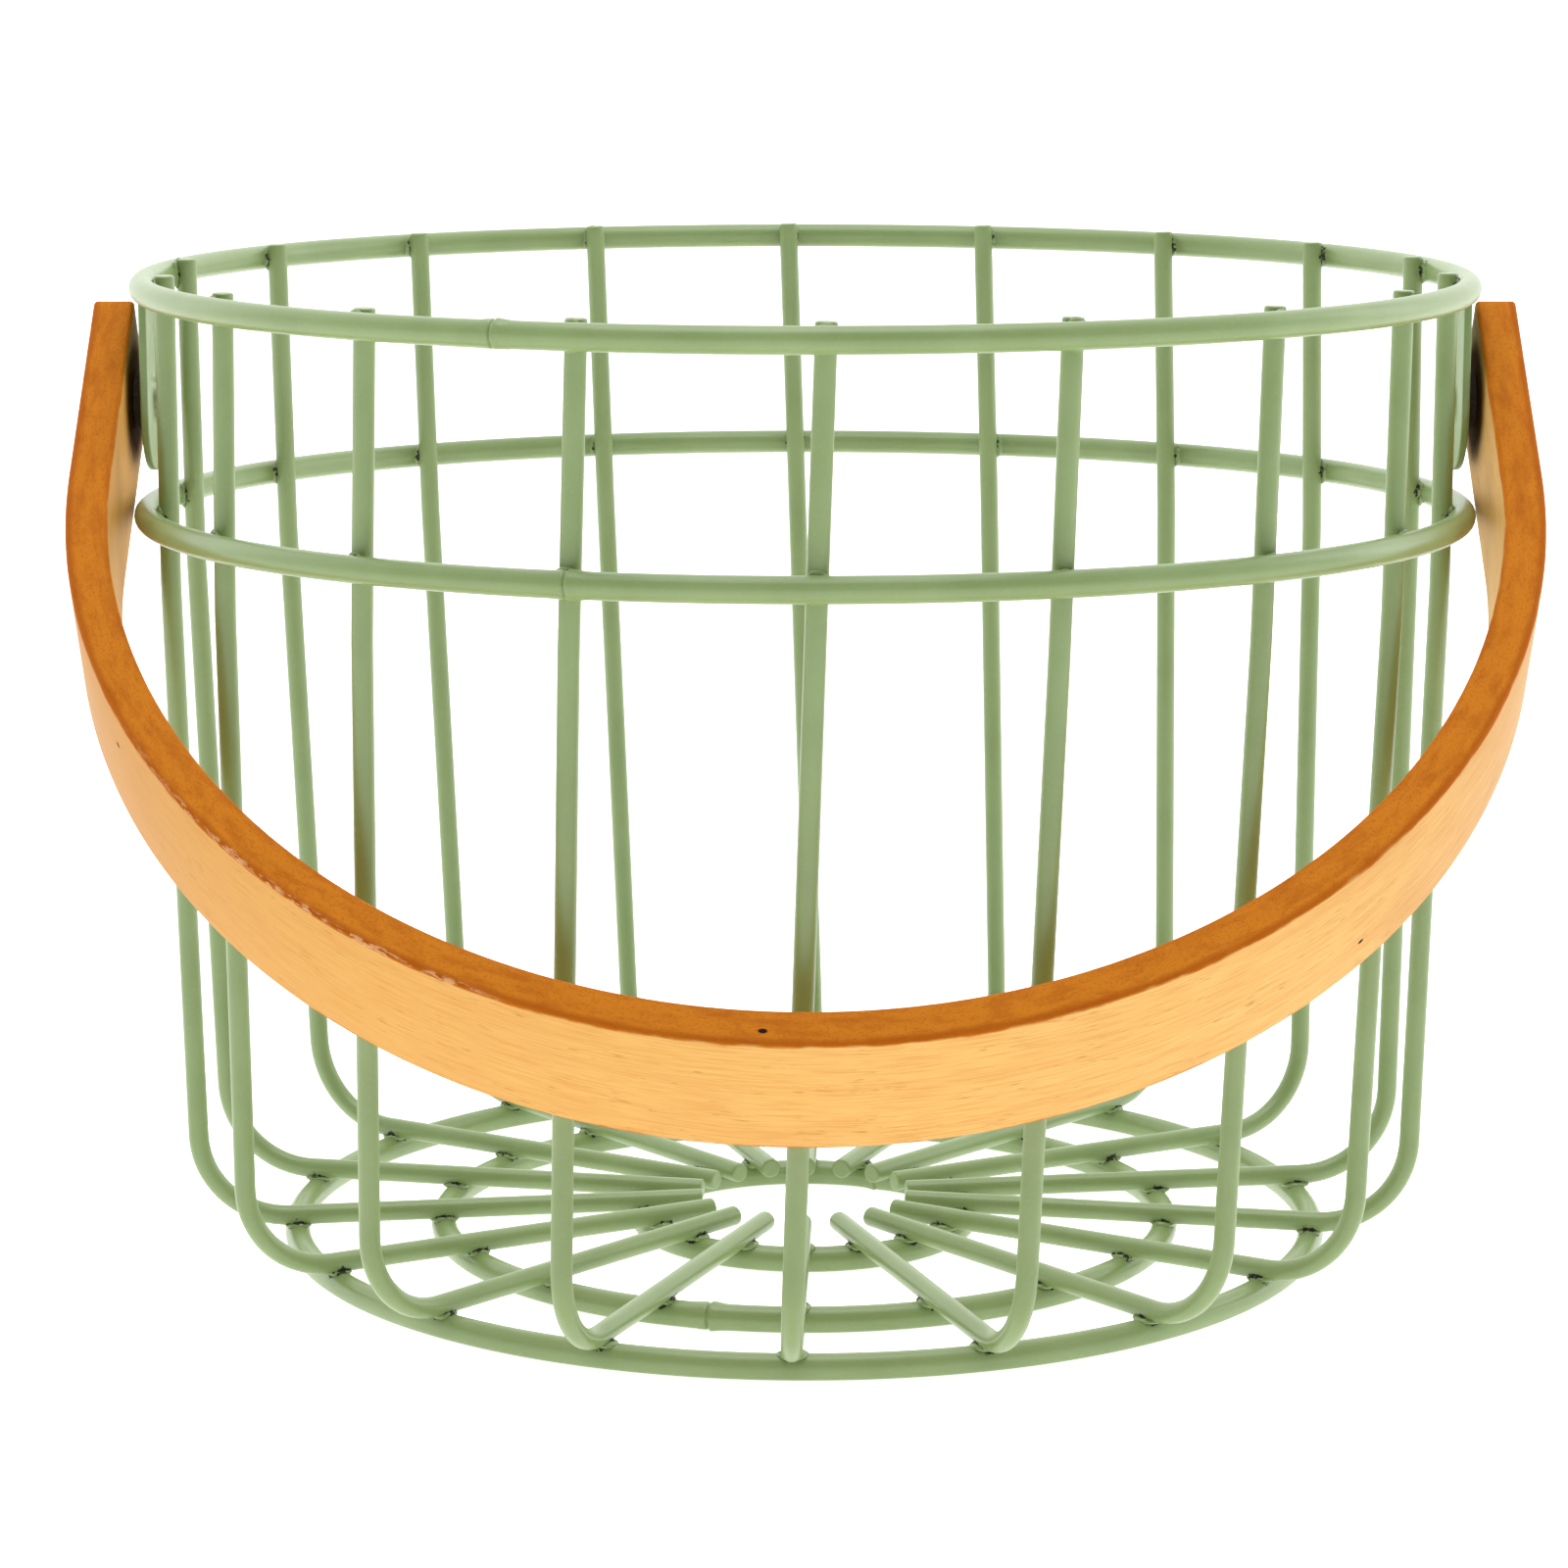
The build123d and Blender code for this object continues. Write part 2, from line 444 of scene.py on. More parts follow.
def hoop_rule():
    rule = Rule("welded_hoop")
    radius = rule.ask("Radius")
    level = rule.ask("Level")
    wire = rule.ask("Wire Radius")
    tip = rule.ask("Front Tipped Up")
    seam = rule.ask("Seam Turn")
    crowding = rule.ask("Crowding")
    collar_height = rule.ask("Collar Height")
    collar_width = rule.ask("Collar Width")
    crease_depth = rule.ask("Crease Depth")
    crease_width = rule.ask("Crease Width")
    count = rule.ask("Points", "Int")
    sides = rule.ask("Sides", "Int")
    material = rule.ask("Material", "Material")

    circle = rule.node("GeometryNodeCurvePrimitiveCircle", inputs={"Resolution": count, "Radius": radius})
    share = rule.node("GeometryNodeInputIndex") / count
    turn = share * math.tau - crowding * (share * math.tau).math("SINE")
    angle = turn + seam
    reach = radius * angle.math("SINE")
    place = rule.join(
        radius * angle.math("COSINE"), reach * tip.math("COSINE"), level - reach * tip.math("SINE")
    )
    circle = rule.node("GeometryNodeSetPosition", inputs={"Geometry": circle, "Position": place})

    signed = (turn + math.pi).math("FLOORED_MODULO", math.tau) - math.pi
    from_seam = signed * radius
    collar = bell(from_seam, collar_width)
    # One end of the wire always sits a hair proud of the other.
    step = 1 + from_seam.math("SIGN") * 0.35
    thickness = wire + collar * collar_height * step - bell(from_seam, crease_width) * crease_depth
    circle, collar_on_mesh = rule.pin(circle, collar)
    section = rule.node("GeometryNodeCurvePrimitiveCircle", inputs={"Resolution": sides, "Radius": 1.0})
    tube = rule.node(
        "GeometryNodeCurveToMesh",
        inputs={"Curve": circle, "Profile Curve": section, "Scale": thickness},
    )
    # The collar is a squeezed-out ridge, so it is a little lumpy; elsewhere the wire is true.
    lumps = rule.noise(rule.node("GeometryNodeInputPosition"), 900.0) - 0.5
    outward = rule.node("GeometryNodeInputNormal")
    push = rule.scaled(outward, lumps * collar_on_mesh * collar_height * 1.2)
    tube = rule.node("GeometryNodeSetPosition", inputs={"Geometry": tube, "Offset": push})
    # A collar on the underside would rock the basket, so it is ground off flush with the wire.
    x, y, z = rule.split(rule.node("GeometryNodeInputPosition"))
    lowest = level - wire - radius * tip.math("SINE")
    flush = rule.join(x, y, z.math("MAXIMUM", lowest))
    tube = rule.node("GeometryNodeSetPosition", inputs={"Geometry": tube, "Position": flush})
    rule.give(tube, material)
    return rule


welded_hoop = hoop_rule()

# %% Five hoops
POINTS_PER_MM = 4  # of the hoop's radius
SEAM_TURN = {  # degrees round from +X
    "rim_ring": -114.6,
    "middle_ring": -108.7,
    "base_ring_outer": 96.0,
    "base_ring_middle": -104.3,
    "base_ring_inner": 61.0,
}

for node in HOOPS:
    radius, level, tip = hoops[node]
    hoop = carrier("painted_" + node, [(0, 0, 0)])
    run_rule(
        hoop,
        welded_hoop,
        {
            "Radius": radius,
            "Level": level,
            "Wire Radius": RING_WIRE / 2,
            "Front Tipped Up": tip,
            "Seam Turn": math.radians(SEAM_TURN[node]),
            "Crowding": 0.93,
            "Collar Height": 0.30 * MM,
            "Collar Width": 2.2 * MM,
            "Crease Depth": 0.42 * MM,
            "Crease Width": 0.28 * MM,
            "Points": int(radius / MM * POINTS_PER_MM),
            "Sides": 24,
            "Material": coat,
        },
    )
    settle(hoop, "basket", "green_coat", node)
    print(hoop.name, len(hoop.data.polygons), "faces")

# %% [markdown]
# ## Uprights
#
# Every upright is the same length of wire, cropped square, bent twice, and set leaning a little to one
# side. The rule fillets the path's corners with true arcs, then lays its points itself: five close rings
# at each end round the cropped edge the way the coat does, and even steps fill the rest.

# %% The cut wire rule
def cut_wire_rule():
    rule = Rule("cut_wire")
    path = rule.ask("Path", "Geometry")
    wire = rule.ask("Wire Radius")
    cut = rule.ask("Cut Round")
    count = rule.ask("Points", "Int")
    end_rings = rule.ask("End Rings", "Int")
    sides = rule.ask("Sides", "Int")
    turn = rule.ask("Turn")
    material = rule.ask("Material", "Material")

    bend = rule.node("GeometryNodeInputNamedAttribute", {"data_type": "FLOAT"}, {"Name": "bend"})
    path = rule.node("GeometryNodeMeshToCurve", inputs={"Mesh": path})
    path = rule.node(
        "GeometryNodeFilletCurve", {"mode": "POLY"}, {"Curve": path, "Count": 40, "Radius": bend}
    )
    length = rule.node("GeometryNodeCurveLength", inputs={"Curve": path})

    line = rule.node("GeometryNodeCurvePrimitiveLine")
    line = rule.node("GeometryNodeResampleCurve", {"mode": "COUNT"}, {"Curve": line, "Count": count})
    index = rule.node("GeometryNodeInputIndex")
    last = count - 1
    from_end = index.math("MINIMUM", last - index)
    quarter = (from_end / end_rings).math("MINIMUM", 1.0) * (math.pi / 2)
    step = (length / 2 - cut) / (last / 2 - end_rings)
    inward = cut * (1 - quarter.math("COSINE")) + (from_end - end_rings).math("MAXIMUM", 0.0) * step
    second_half = index.math("GREATER_THAN", last / 2)
    along = inward + second_half * (length - inward * 2)
    spot = rule.node(
        "GeometryNodeSampleCurve", {"mode": "LENGTH"}, {"Curves": path, "Length": along}, output="Position"
    )
    line = rule.node("GeometryNodeSetPosition", inputs={"Geometry": line, "Position": spot})
    section = rule.node("GeometryNodeCurvePrimitiveCircle", inputs={"Resolution": sides, "Radius": 1.0})
    tube = rule.node(
        "GeometryNodeCurveToMesh",
        inputs={
            "Curve": line,
            "Profile Curve": section,
            "Scale": wire - cut * (1 - quarter.math("SINE")),
            "Fill Caps": True,
        },
    )
    spin = rule.node("FunctionNodeAxisAngleToRotation", inputs={"Axis": (0, 0, 1), "Angle": turn})
    tube = rule.node("GeometryNodeTransform", inputs={"Geometry": tube, "Rotation": spin})
    rule.give(tube, material)
    return rule


cut_wire = cut_wire_rule()

# %% Eighteen uprights
upright_top = rim_level + RING_WIRE / 2 + UPRIGHT_PROUD
knee_level = middle_level - KNEE_DROP
upright_corners = [
    spoke_point(upright_radius, upright_top),
    spoke_point(upright_radius, knee_level),
    spoke_point(foot_radius, leg_level),
    spoke_point(LEG_END, leg_level),
]

for index in range(UPRIGHTS):
    upright = carrier(
        f"painted_upright_{index + 1:02d}",
        upright_corners,
        [(0, 1), (1, 2), (2, 3)],
        [0, KNEE_BEND, FOOT_BEND, 0],
    )
    run_rule(
        upright,
        cut_wire,
        {
            "Wire Radius": UPRIGHT_WIRE / 2,
            "Cut Round": CUT_ROUND,
            "Points": 201,
            "End Rings": 5,
            "Sides": 20,
            "Turn": spoke_turn(index),
            "Material": coat,
        },
    )
    settle(upright, "basket", "green_coat", f"upright_wire_{index + 1:02d}")
print(upright.name, len(upright.data.polygons), "faces each")

# %% [markdown]
# ## Weld nuggets
#
# Resistance welding squeezes a little molten steel out of each crossing. It sets as a flat, lumpy web in
# the four corners between the wires. The same lump at ninety places is a job for instances: a rule puts
# one on every crossing, turns it to lie between the two wires, and varies its size and its lumps.

# %% The nugget rule
def nugget_rule():
    rule = Rule("weld_nuggets")
    points = rule.ask("Crossings", "Geometry")
    length = rule.ask("Length")
    width = rule.ask("Width")
    height = rule.ask("Height")
    spread = rule.ask("Size Spread")
    lumpiness = rule.ask("Lumpiness")
    seed = rule.ask("Seed", "Int")
    material = rule.ask("Material", "Material")

    def named(name):
        return rule.node("GeometryNodeInputNamedAttribute", {"data_type": "FLOAT_VECTOR"}, {"Name": name})

    lump = rule.node("GeometryNodeMeshIcoSphere", inputs={"Radius": 1.0, "Subdivisions": 3})
    upwards = rule.node(
        "FunctionNodeAlignRotationToVector", {"axis": "Z"}, {"Vector": named("facing")}
    )
    aligned = rule.node(
        "FunctionNodeAlignRotationToVector",
        {"axis": "X", "pivot_axis": "Z"},
        {"Rotation": upwards, "Vector": named("along_hoop")},
    )
    chance = rule.node(
        "FunctionNodeRandomValue",
        {"data_type": "FLOAT_VECTOR"},
        {"Min": (-1.0, -1.0, -1.0), "Max": (1.0, 1.0, 1.0), "Seed": seed},
    )
    cx, cy, cz = rule.split(chance)
    size = rule.join(
        length * (1 + cx * spread), width * (1 + cy * spread), height * (1 + cz * spread)
    )
    lumps = rule.node(
        "GeometryNodeInstanceOnPoints",
        inputs={"Points": points, "Instance": lump, "Rotation": aligned, "Scale": size},
    )
    solid = rule.node("GeometryNodeRealizeInstances", inputs={"Geometry": lumps})
    bulge = rule.noise(rule.node("GeometryNodeInputPosition"), 700.0, 2.0) - 0.5
    push = rule.scaled(rule.node("GeometryNodeInputNormal"), bulge * lumpiness)
    solid = rule.node("GeometryNodeSetPosition", inputs={"Geometry": solid, "Offset": push})
    rule.give(solid, material)
    return rule


weld_nuggets = nugget_rule()


# %% A nugget at every crossing
def turned(vector, angle):
    c, s = math.cos(angle), math.sin(angle)
    return Vector((vector.x * c - vector.y * s, vector.x * s + vector.y * c, vector.z))


crossings, facings, hoop_ways = [], [], []
for index in range(UPRIGHTS):
    for weld in spoke_welds:
        spot = turned(weld, spoke_turn(index))
        if weld == side_welds[1]:
            spot.z -= spot.y * math.tan(middle_tip)
        outward = Vector((spot.x, spot.y, 0)).normalized()
        crossings.append(spot)
        facings.append(outward if weld in side_welds else Vector((0, 0, 1)))
        hoop_ways.append(Vector((-outward.y, outward.x, 0)))

nuggets = carrier("weld_nuggets", crossings)
for name, vectors in (("facing", facings), ("along_hoop", hoop_ways)):
    stored = nuggets.data.attributes.new(name, "FLOAT_VECTOR", "POINT")
    stored.data.foreach_set("vector", [c for v in vectors for c in v])
run_rule(
    nuggets,
    weld_nuggets,
    {
        "Length": 2.5 * MM,
        "Width": 2.7 * MM,
        "Height": 0.95 * MM,
        "Size Spread": 0.16,
        "Lumpiness": 0.7 * MM,
        "Seed": 7,
        "Material": coat,
    },
)
settle(nuggets, "basket", "green_coat")
print(len(crossings), "nuggets,", len(nuggets.data.polygons), "faces")

# %% [markdown]
# ## Ears
#
# An ear is a tab of sheet steel with a round lower end, welded under the rim. Stamping leaves a small
# roll-over on its edges and the coat rounds them further. Its CAD mesh is right, so a copy of it is
# merged, its flat faces are joined, and a Bevel modifier eases the edges.

# %% Ears with eased edges
def copied_node(node, name):
    """A merged copy of a CAD node's mesh."""
    mesh = frame["nodes"][node].data.copy()
    mesh.name = name
    work = bmesh.new()
    work.from_mesh(mesh)
    bmesh.ops.remove_doubles(work, verts=work.verts, dist=0.002 * MM)
    bmesh.ops.dissolve_limit(work, angle_limit=math.radians(1), verts=work.verts, edges=work.edges)
    work.to_mesh(mesh)
    work.free()
    return placed(name, mesh)


def only_material(piece, material):
    piece.data.materials.clear()
    piece.data.materials.append(material)


def smooth_within(piece, degrees):
    """Smooth shading, with creases where two faces meet at more than that angle."""
    piece.data.shade_smooth()
    piece.data.set_sharp_from_angle(angle=math.radians(degrees))


EAR_EDGE = 0.35 * MM
for hand in ("left", "right"):
    ear = copied_node("handle_ear_" + hand, "painted_ear_" + hand)
    ease = ear.modifiers.new("ease", "BEVEL")
    ease.width = EAR_EDGE
    ease.segments = 3
    ease.limit_method = "ANGLE"
    ease.angle_limit = math.radians(50)
    apply_modifiers(ear)
    only_material(ear, coat)
    smooth_within(ear, 35)
    settle(ear, "basket", "green_coat", "handle_ear_" + hand)
    print(ear.name, len(ear.data.polygons), "faces")

# %% [markdown]
# ## The wood
#
# The bail is pale straight-grained beech under an amber varnish. Its broad faces are quarter-cut: fine
# fibres run the length of the bow, with short dark rays between them. Its narrow edges drank more stain
# and are a shade darker. A texture in plain object space would cut straight through the bend, so the
# shader works out where a point lies along the bow, and how far it is from the strip's middle.

# %% Bow coordinates
pivot = Vector(frame["joints"][0]["pos_m"])
bow_low, bow_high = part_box("handle_bow")
BOW_LEG = 35.0 * MM
BOW_TAIL = 13.0 * MM
BOW_THICK = 7.8 * MM
BOW_WIDE = 28.0 * MM
BOW_EASE = 0.9 * MM
bow_outer = bow_high.x
bow_middle = bow_outer - BOW_THICK / 2


def rest_tilt():
    """How far the bow hangs in front of straight down, from how far forward its box reaches."""
    reach = BOW_LEG + bow_outer - BOW_EASE
    half = BOW_WIDE / 2 - BOW_EASE
    forward = -bow_low.y - BOW_EASE
    return math.asin(forward / math.hypot(reach, half)) - math.atan2(half, reach)


tilt = rest_tilt()
bow_down = Vector((0, -math.sin(tilt), -math.cos(tilt)))
bow_face = Vector((0, -math.cos(tilt), math.sin(tilt)))
print("bow hangs", round(math.degrees(tilt), 2), "degrees forward")


# %% Coordinates that follow the strip
GRAIN_WAVE = 3.0 * MM
EDGE_WANDER = 1.4 * MM


class Strip:
    """Where a surface point lies in the strip, and the grain that its finishes share.

    `along` is counted from the middle of the bow, `outward` from the strip's centre line to its
    outer face, and `across` over its width.
    """

    def __init__(self, n):
        self.n = n
        from_pivot = n.vector("SUBTRACT", object_place(n), pivot)
        x = n.split(from_pivot)[0]
        down = n.vector("DOT_PRODUCT", from_pivot, bow_down, output="Value")
        below = (down - BOW_LEG).math("MAXIMUM", 0.0)
        up_leg = (BOW_LEG - down).math("MAXIMUM", 0.0)
        self.along = x.math("ARCTAN2", below) * bow_middle + x.math("SIGN") * up_leg
        self.outward = (x * x + below * below).math("SQRT") - bow_middle
        self.across = n.vector("DOT_PRODUCT", from_pivot, bow_face, output="Value")

        # Grain is never quite parallel to the strip: it drifts and waves a little.
        wave = n.noise(n.join(self.along * 14.0, 0.0, self.across * 20.0), 1.0) - 0.5
        self.grain_line = self.across + self.along * 0.02 + wave * GRAIN_WAVE
        self.fibre = self.grain(90.0, 2300.0, 3.0, 0.6)
        self.band = self.grain(8.0, 260.0, 3.0)
        self.blotch = self.grain(45.0, 90.0, 3.0)
        self.wander = (self.grain(160.0, 160.0, 3.0) - 0.5) * EDGE_WANDER

    def grain(self, along_scale, cross_scale, detail=2.0, roughness=0.5):
        """Noise that is drawn out along the grain."""
        place = self.n.join(
            self.along * along_scale, self.outward * cross_scale, self.grain_line * cross_scale
        )
        return self.n.noise(place, 1.0, detail, roughness)


# %% Broad faces
BEECH = (0.562, 0.296, 0.071, 1)
# The next colour is painted light, for the right-hand side of the broad faces.
BEECH_LIT = (0.684, 0.424, 0.148, 1)
BEECH_WARM = (0.506, 0.221, 0.048, 1)
FLECK = (0.300, 0.115, 0.020, 1)
# The next colour is painted shade for the outside of the bow's legs and shoulders.
SHOULDER_SHADE = (0.370, 0.163, 0.048, 1)


def broad_face(strip):
    """The colour of the quarter-cut faces, and where their rays are."""
    n = strip.n
    # Painted light and shade: the broad faces are darker towards the left leg and paler towards the right.
    lit_side = n.ramp(strip.along + (strip.blotch - 0.5) * 0.1, -0.17, 0.09)
    colour = mix(n, lit_side * 0.8, BEECH, BEECH_LIT)
    colour = mix(n, n.ramp(strip.fibre, 0.4, 0.7) * 0.55, colour, BEECH_WARM)
    colour = mix(n, n.ramp(strip.band, 0.45, 0.75) * 0.2, colour, BEECH_WARM)
    colour = mix(n, n.ramp(strip.blotch, 0.5, 0.75) * 0.22, colour, BEECH_WARM)
    with_rays = n.ramp(strip.grain(70.0, 260.0), 0.47, 0.62)
    rays = n.ramp(strip.grain(300.0, 3400.0, 1.0), 0.63, 0.71) * with_rays
    colour = mix(n, rays * 0.55, colour, FLECK)
    # Painted shade: outside, the legs and shoulders of the bow are darkened against its middle.
    shoulder_shade = n.ramp(strip.along.math("ABSOLUTE") + (strip.blotch - 0.5) * 0.05, 0.075, 0.165)
    shoulder_shade = shoulder_shade * n.ramp(strip.outward, -1.0 * MM, 1.0 * MM)
    return mix(n, shoulder_shade * 0.42, colour, SHOULDER_SHADE), rays


# %% Narrow edges
EDGE_STAIN = (0.560, 0.180, 0.010, 1)
EDGE_DEEP = (0.352, 0.079, 0.003, 1)


def narrow_edge(strip):
    """The colour of the stained edges, where they are, and their open pores."""
    n = strip.n
    tone = n.ramp(strip.grain(130.0, 420.0, 4.0, 0.65), 0.38, 0.75)
    colour = mix(n, tone * 0.6, EDGE_STAIN, EDGE_DEEP)
    pores = n.ramp(strip.grain(1700.0, 2600.0), 0.5, 0.68)
    colour = mix(n, pores * 0.4, colour, EDGE_DEEP)
    # Stain soaks in deepest along the two corners of an edge.
    by_outer = n.ramp(strip.outward + strip.wander, BOW_THICK / 2 - 1.9 * MM, BOW_THICK / 2 - 0.5 * MM)
    by_inner = n.ramp(strip.wander - strip.outward, BOW_THICK / 2 - 1.2 * MM, BOW_THICK / 2)
    colour = mix(n, by_outer * 0.75 + by_inner * 0.4, colour, EDGE_DEEP)
    # The stain reaches a little way round the eased corner, and fades out there.
    to_corner = strip.across.math("ABSOLUTE") + strip.wander + (strip.fibre - 0.5) * (0.5 * MM)
    on_edge = n.ramp(to_corner, BOW_WIDE / 2 - 0.95 * MM, BOW_WIDE / 2 - 0.3 * MM)
    return colour, on_edge, pores * on_edge


# %% [markdown]
# ## Marks in the wood, and a painted shadow
#
# Even grain alone looks printed. This strip has a run of varnish that dried to a cracked crust along one
# corner and three pin knots, and it carries a painted shadow on its inner face behind each ear. Each is a
# mask, worked out from the same strip coordinates, so it can tint, roughen and dent the surface at once.

# %% Crust, knots and painted ear shadows
VARNISH_CRUST = (0.640, 0.340, 0.157, 1)
KNOT = (0.020, 0.009, 0.005, 1)
# The last colour is painted shade: the shadow that each ear casts on the bow's inner face.
EAR_SHADOW = (0.130, 0.050, 0.012, 1)
CRUST_FROM, CRUST_TO = -150 * MM, -48 * MM
# Along, outward, across and radius of each pin knot, in millimetres.
PIN_KNOTS = ((-7.5, 0.9, 14.0, 0.62), (104.5, 3.9, -6.5, 0.55), (-148.0, 3.9, 5.0, 0.45))


def varnish_crust(strip):
    """The run along the left outer corner, and the cracks in it."""
    n = strip.n
    from_top = strip.across - (BOW_WIDE / 2 - 0.5 * MM)
    from_outside = strip.outward - (BOW_THICK / 2 - 0.5 * MM)
    off_corner = (from_top ** 2 + from_outside ** 2).math("SQRT")
    starts = n.ramp(strip.along, CRUST_FROM, CRUST_FROM + 40 * MM)
    ends = n.ramp(strip.along, CRUST_TO, CRUST_TO - 12 * MM)
    run = n.ramp(off_corner + strip.wander * 0.8, 0.65 * MM, 0.3 * MM) * starts * ends
    return run, n.ramp(strip.grain(500.0, 1800.0, 3.0, 0.6), 0.46, 0.56)


def pin_knots(strip):
    n = strip.n
    place = n.join(strip.along * 0.6, strip.outward, strip.across)
    knots = None
    for along, outward, across, radius in PIN_KNOTS:
        centre = Vector((along * 0.6, outward, across)) * MM
        reach = n.vector("DISTANCE", place, centre, output="Value")
        knot = n.ramp(reach + strip.wander * 0.7, radius * MM, radius * MM * 0.55)
        knots = knot if knots is None else knots.math("MAXIMUM", knot)
    return knots


# Painted shadow: the inner face is darkened and roughened round each pivot, where the ear shades it.
def painted_ear_shadow(strip):
    n = strip.n
    past_pivot = strip.along.math("ABSOLUTE") - (bow_middle * math.pi / 2 + BOW_LEG)
    from_pivot = (past_pivot * past_pivot + strip.across * strip.across).math("SQRT")
    patch = n.ramp(from_pivot + strip.wander * 2.0, 13.0 * MM, 8.5 * MM)
    return patch * n.ramp(strip.outward, -BOW_THICK / 2 + 1.2 * MM, -BOW_THICK / 2 + 0.4 * MM)


# %% Varnished wood material
def varnished_wood():
    material, n = new_material("varnished_beech")
    strip = Strip(n)
    colour, rays = broad_face(strip)
    edge_colour, on_edge, pores = narrow_edge(strip)
    colour = mix(n, on_edge, colour, edge_colour)
    run, crack = varnish_crust(strip)
    colour = mix(n, run * 0.85, colour, mix(n, crack, EDGE_DEEP, VARNISH_CRUST))
    knots = pin_knots(strip)
    colour = mix(n, knots, colour, KNOT)
    # The painted shadow of each ear on the inner face.
    ear_shadow = painted_ear_shadow(strip)
    colour = mix(n, ear_shadow * 0.92, colour, EAR_SHADOW)

    raised = strip.fibre * 0.5 + strip.band * 0.2 + run * crack * 1.5
    sunk = rays * 0.5 + knots * 2.0 + pores * 0.3
    surface(
        n,
        Base_Color=colour,
        Roughness=0.42 + strip.fibre * 0.14 + on_edge * 0.06 + knots * 0.3 + ear_shadow * 0.42,
        Normal=bump(n, raised - sunk, 0.3, 0.08 * MM),
        Specular_IOR_Level=0.04,
    )
    return material


wood = varnished_wood()
print("wood nodes:", len(wood.node_tree.nodes))

# %% [markdown]
# ## The bent strip
#
# One flat strip, steamed and bent round a form. Two corners whose bend radius is the bow's own radius
# make two quarter turns that meet in the middle, so the fillet that shaped the wires makes the bow too.
# The section is a rectangle with eased long edges. The sawn ends are eased by a Bevel modifier, and the
# two rivet holes are drilled by a Boolean, as a drill would.

# %% The bent strip rule
def bent_strip_rule():
    rule = Rule("bent_strip")
    path = rule.ask("Path", "Geometry")
    thick = rule.ask("Thickness")
    wide = rule.ask("Width")
    ease = rule.ask("Edge Round")
    spacing = rule.ask("Spacing")
    material = rule.ask("Material", "Material")

    bend = rule.node("GeometryNodeInputNamedAttribute", {"data_type": "FLOAT"}, {"Name": "bend"})
    path = rule.node("GeometryNodeMeshToCurve", inputs={"Mesh": path})
    path = rule.node(
        "GeometryNodeFilletCurve", {"mode": "POLY"}, {"Curve": path, "Count": 200, "Radius": bend}
    )
    path = rule.node("GeometryNodeResampleCurve", {"mode": "LENGTH"}, {"Curve": path, "Length": spacing})
    section = rule.node("GeometryNodeCurvePrimitiveQuadrilateral", inputs={"Width": thick, "Height": wide})
    section = rule.node(
        "GeometryNodeFilletCurve", {"mode": "POLY"}, {"Curve": section, "Count": 5, "Radius": ease}
    )
    strip = rule.node(
        "GeometryNodeCurveToMesh", inputs={"Curve": path, "Profile Curve": section, "Fill Caps": True}
    )
    rule.give(strip, material)
    return rule


bent_strip = bent_strip_rule()


# %% The bail
def bow_point(x, down):
    return pivot + Vector((x, 0, 0)) + bow_down * down


# Two full quarter turns would meet in one point, so each bend is a hair tighter than the bow.
bow_bend = bow_middle * 0.9999
bail = carrier(
    "bentwood_bail",
    [
        bow_point(-bow_middle, -BOW_TAIL),
        bow_point(-bow_middle, BOW_LEG + bow_middle),
        bow_point(bow_middle, BOW_LEG + bow_middle),
        bow_point(bow_middle, -BOW_TAIL),
    ],
    [(0, 1), (1, 2), (2, 3)],
    [0, bow_bend, bow_bend, 0],
)
run_rule(
    bail,
    bent_strip,
    {
        "Thickness": BOW_THICK,
        "Width": BOW_WIDE,
        "Edge Round": BOW_EASE,
        "Spacing": 2.0 * MM,
        "Material": wood,
    },
)
print("strip before drilling:", len(bail.data.polygons), "faces")

# %% Sawn ends eased, rivet holes drilled
RIVET_HOLE = 2.08 * MM  # radius
END_EASE = 0.6 * MM

ease = bail.modifiers.new("ease", "BEVEL")
ease.width = END_EASE
ease.segments = 3
ease.limit_method = "ANGLE"
ease.angle_limit = math.radians(60)
apply_modifiers(bail)

drill_mesh = bpy.data.meshes.new("drill")
work = bmesh.new()
bmesh.ops.create_cone(
    work, cap_ends=True, segments=48, radius1=RIVET_HOLE, radius2=RIVET_HOLE, depth=bow_outer * 2.2
)
bmesh.ops.rotate(work, verts=work.verts, matrix=Matrix.Rotation(math.pi / 2, 3, "Y"))
bmesh.ops.translate(work, verts=work.verts, vec=pivot)
work.to_mesh(drill_mesh)
work.free()
drill = placed("drill", drill_mesh)
cut = bail.modifiers.new("drill", "BOOLEAN")
cut.object = drill
cut.operation = "DIFFERENCE"
cut.solver = "EXACT"
apply_modifiers(bail)
bpy.data.objects.remove(drill)
only_material(bail, wood)
smooth_within(bail, 40)
settle(bail, "handle", "varnished_wood", "handle_bow")
print("bail:", len(bail.data.polygons), "faces")

# %% [markdown]
# ## The rest of the finishes
#
# The rivets are zinc-plated steel, dull and finely scratched. The washers are black fibre.

# %% Rivet steel and washer fibre
ZINC = (0.56, 0.55, 0.52, 1)
ZINC_DULL = (0.30, 0.29, 0.27, 1)
FIBRE = (0.060, 0.042, 0.028, 1)
FIBRE_WORN = (0.120, 0.090, 0.062, 1)


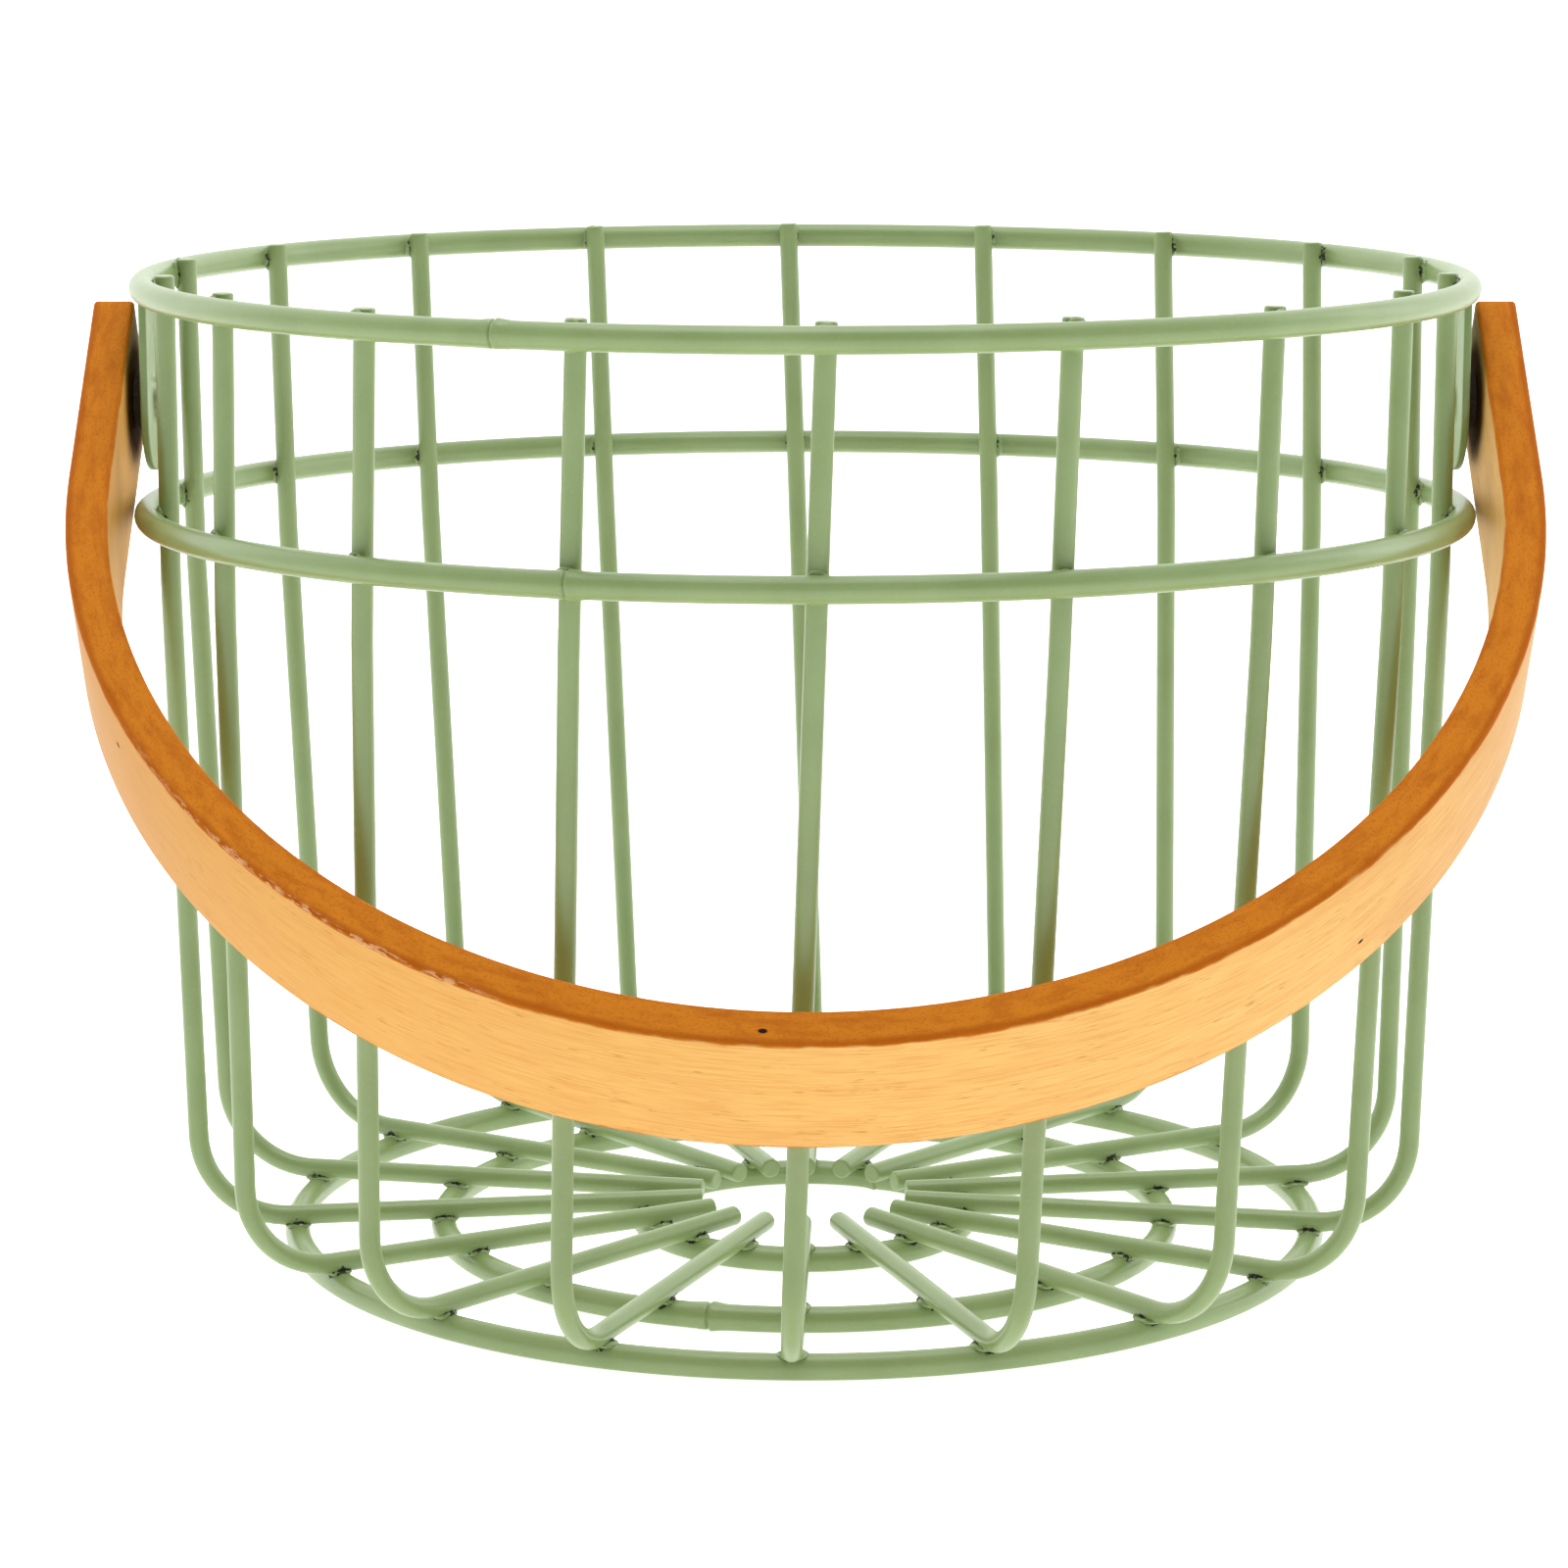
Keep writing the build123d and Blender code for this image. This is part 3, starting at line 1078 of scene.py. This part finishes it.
def rivet_steel():
    material, n = new_material("rivet_zinc")
    place = object_place(n)
    tarnish = n.noise(place, 500.0, 4.0)
    scratch = n.noise(n.vector("MULTIPLY", place, (1.0, 0.12, 1.0)), 4200.0, 2.0)
    surface(
        n,
        Base_Color=mix(n, n.ramp(tarnish, 0.4, 0.68), ZINC, ZINC_DULL),
        Metallic=0.9 - n.ramp(tarnish, 0.55, 0.8) * 0.4,
        Roughness=0.34 + tarnish * 0.25,
        Normal=bump(n, scratch + tarnish * 0.5, 0.25, 0.05 * MM),
    )
    return material


def washer_fibre():
    material, n = new_material("black_fibre")
    place = object_place(n)
    felt = n.noise(place, 2600.0, 3.0)
    surface(
        n,
        Base_Color=mix(n, n.ramp(felt, 0.5, 0.75), FIBRE, FIBRE_WORN),
        Roughness=0.72 + felt * 0.2,
        Normal=bump(n, felt, 0.5, 0.08 * MM),
    )
    return material


for kind, material in (("pivot_rivet_", rivet_steel()), ("spacer_washer_", washer_fibre())):
    for hand in ("left", "right"):
        part = frame["nodes"][kind + hand]
        only_material(part, material)
        print(part.name, "now in", material.name)

# %% [markdown]
# ## Floor and light
#
# A product like this is shot on a white acrylic table that glows a little, inside a white tent. The tent
# is bright behind and beside the basket and dimmer round the camera. That leaves the fronts of the wires
# a shade darker than their edges, and lights their undersides from the table.

# %% Floor
TABLE_WHITE = (0.86, 0.86, 0.86, 1)
TABLE_GLOW = 0.8
FLOOR_HALF = 40.0


def pale_floor():
    material, n = new_material("pale_floor")
    surface(
        n,
        Base_Color=TABLE_WHITE,
        Roughness=0.8,
        Specular_IOR_Level=0.1,
        Emission_Color=(1.0, 1.0, 1.0, 1),
        Emission_Strength=TABLE_GLOW,
    )
    return material


floor_mesh = bpy.data.meshes.new("floor")
corners = [(-FLOOR_HALF, -FLOOR_HALF, 0), (FLOOR_HALF, -FLOOR_HALF, 0)]
corners += [(FLOOR_HALF, FLOOR_HALF, 0), (-FLOOR_HALF, FLOOR_HALF, 0)]
floor_mesh.from_pydata(corners, [], [(0, 1, 2, 3)])
floor = placed("floor", floor_mesh)
only_material(floor, pale_floor())


# %% A white tent, dimmer on the camera's side
TENT_SEEN = 1.05


def white_tent(behind, round_camera):
    world = bpy.data.worlds.new("white_tent")
    world.use_nodes = True
    world.node_tree.nodes.clear()
    n = Nodes(world.node_tree)
    towards_back = n.split(n.node("ShaderNodeTexCoord", output="Generated"))[1]
    lit = round_camera + n.ramp(towards_back, -0.75, 0.65) * (behind - round_camera)
    # Seen directly, the tent is plain white all round.
    seen = n.node("ShaderNodeLightPath", output="Is Camera Ray")
    strength = lit + seen * (TENT_SEEN - lit)
    tent = n.node("ShaderNodeBackground", inputs={"Color": (1, 1, 1, 1), "Strength": strength})
    out = n.tree.nodes.new("ShaderNodeOutputWorld")
    n.tree.links.new(tent.socket, out.inputs["Surface"])
    bpy.context.scene.world = world


def softbox(name, place, aim, width, height, watts):
    lamp = bpy.data.lights.new(name, "AREA")
    lamp.shape = "RECTANGLE"
    lamp.size = width
    lamp.size_y = height
    lamp.energy = watts
    box = placed(name, lamp)
    box.location = place
    box.rotation_euler = (Vector(aim) - Vector(place)).to_track_quat("-Z", "Y").to_euler()


white_tent(behind=1.7, round_camera=0.4)
middle = (0, 0, 0.09)
softbox("overhead", (0, -0.1, 1.5), middle, 1.0, 1.0, 9)
softbox("left", (-1.4, 0.8, 0.6), middle, 0.5, 1.0, 1)
softbox("right", (1.4, 0.5, 0.6), middle, 0.5, 1.0, 3)
bpy.context.scene.view_settings.view_transform = "Standard"
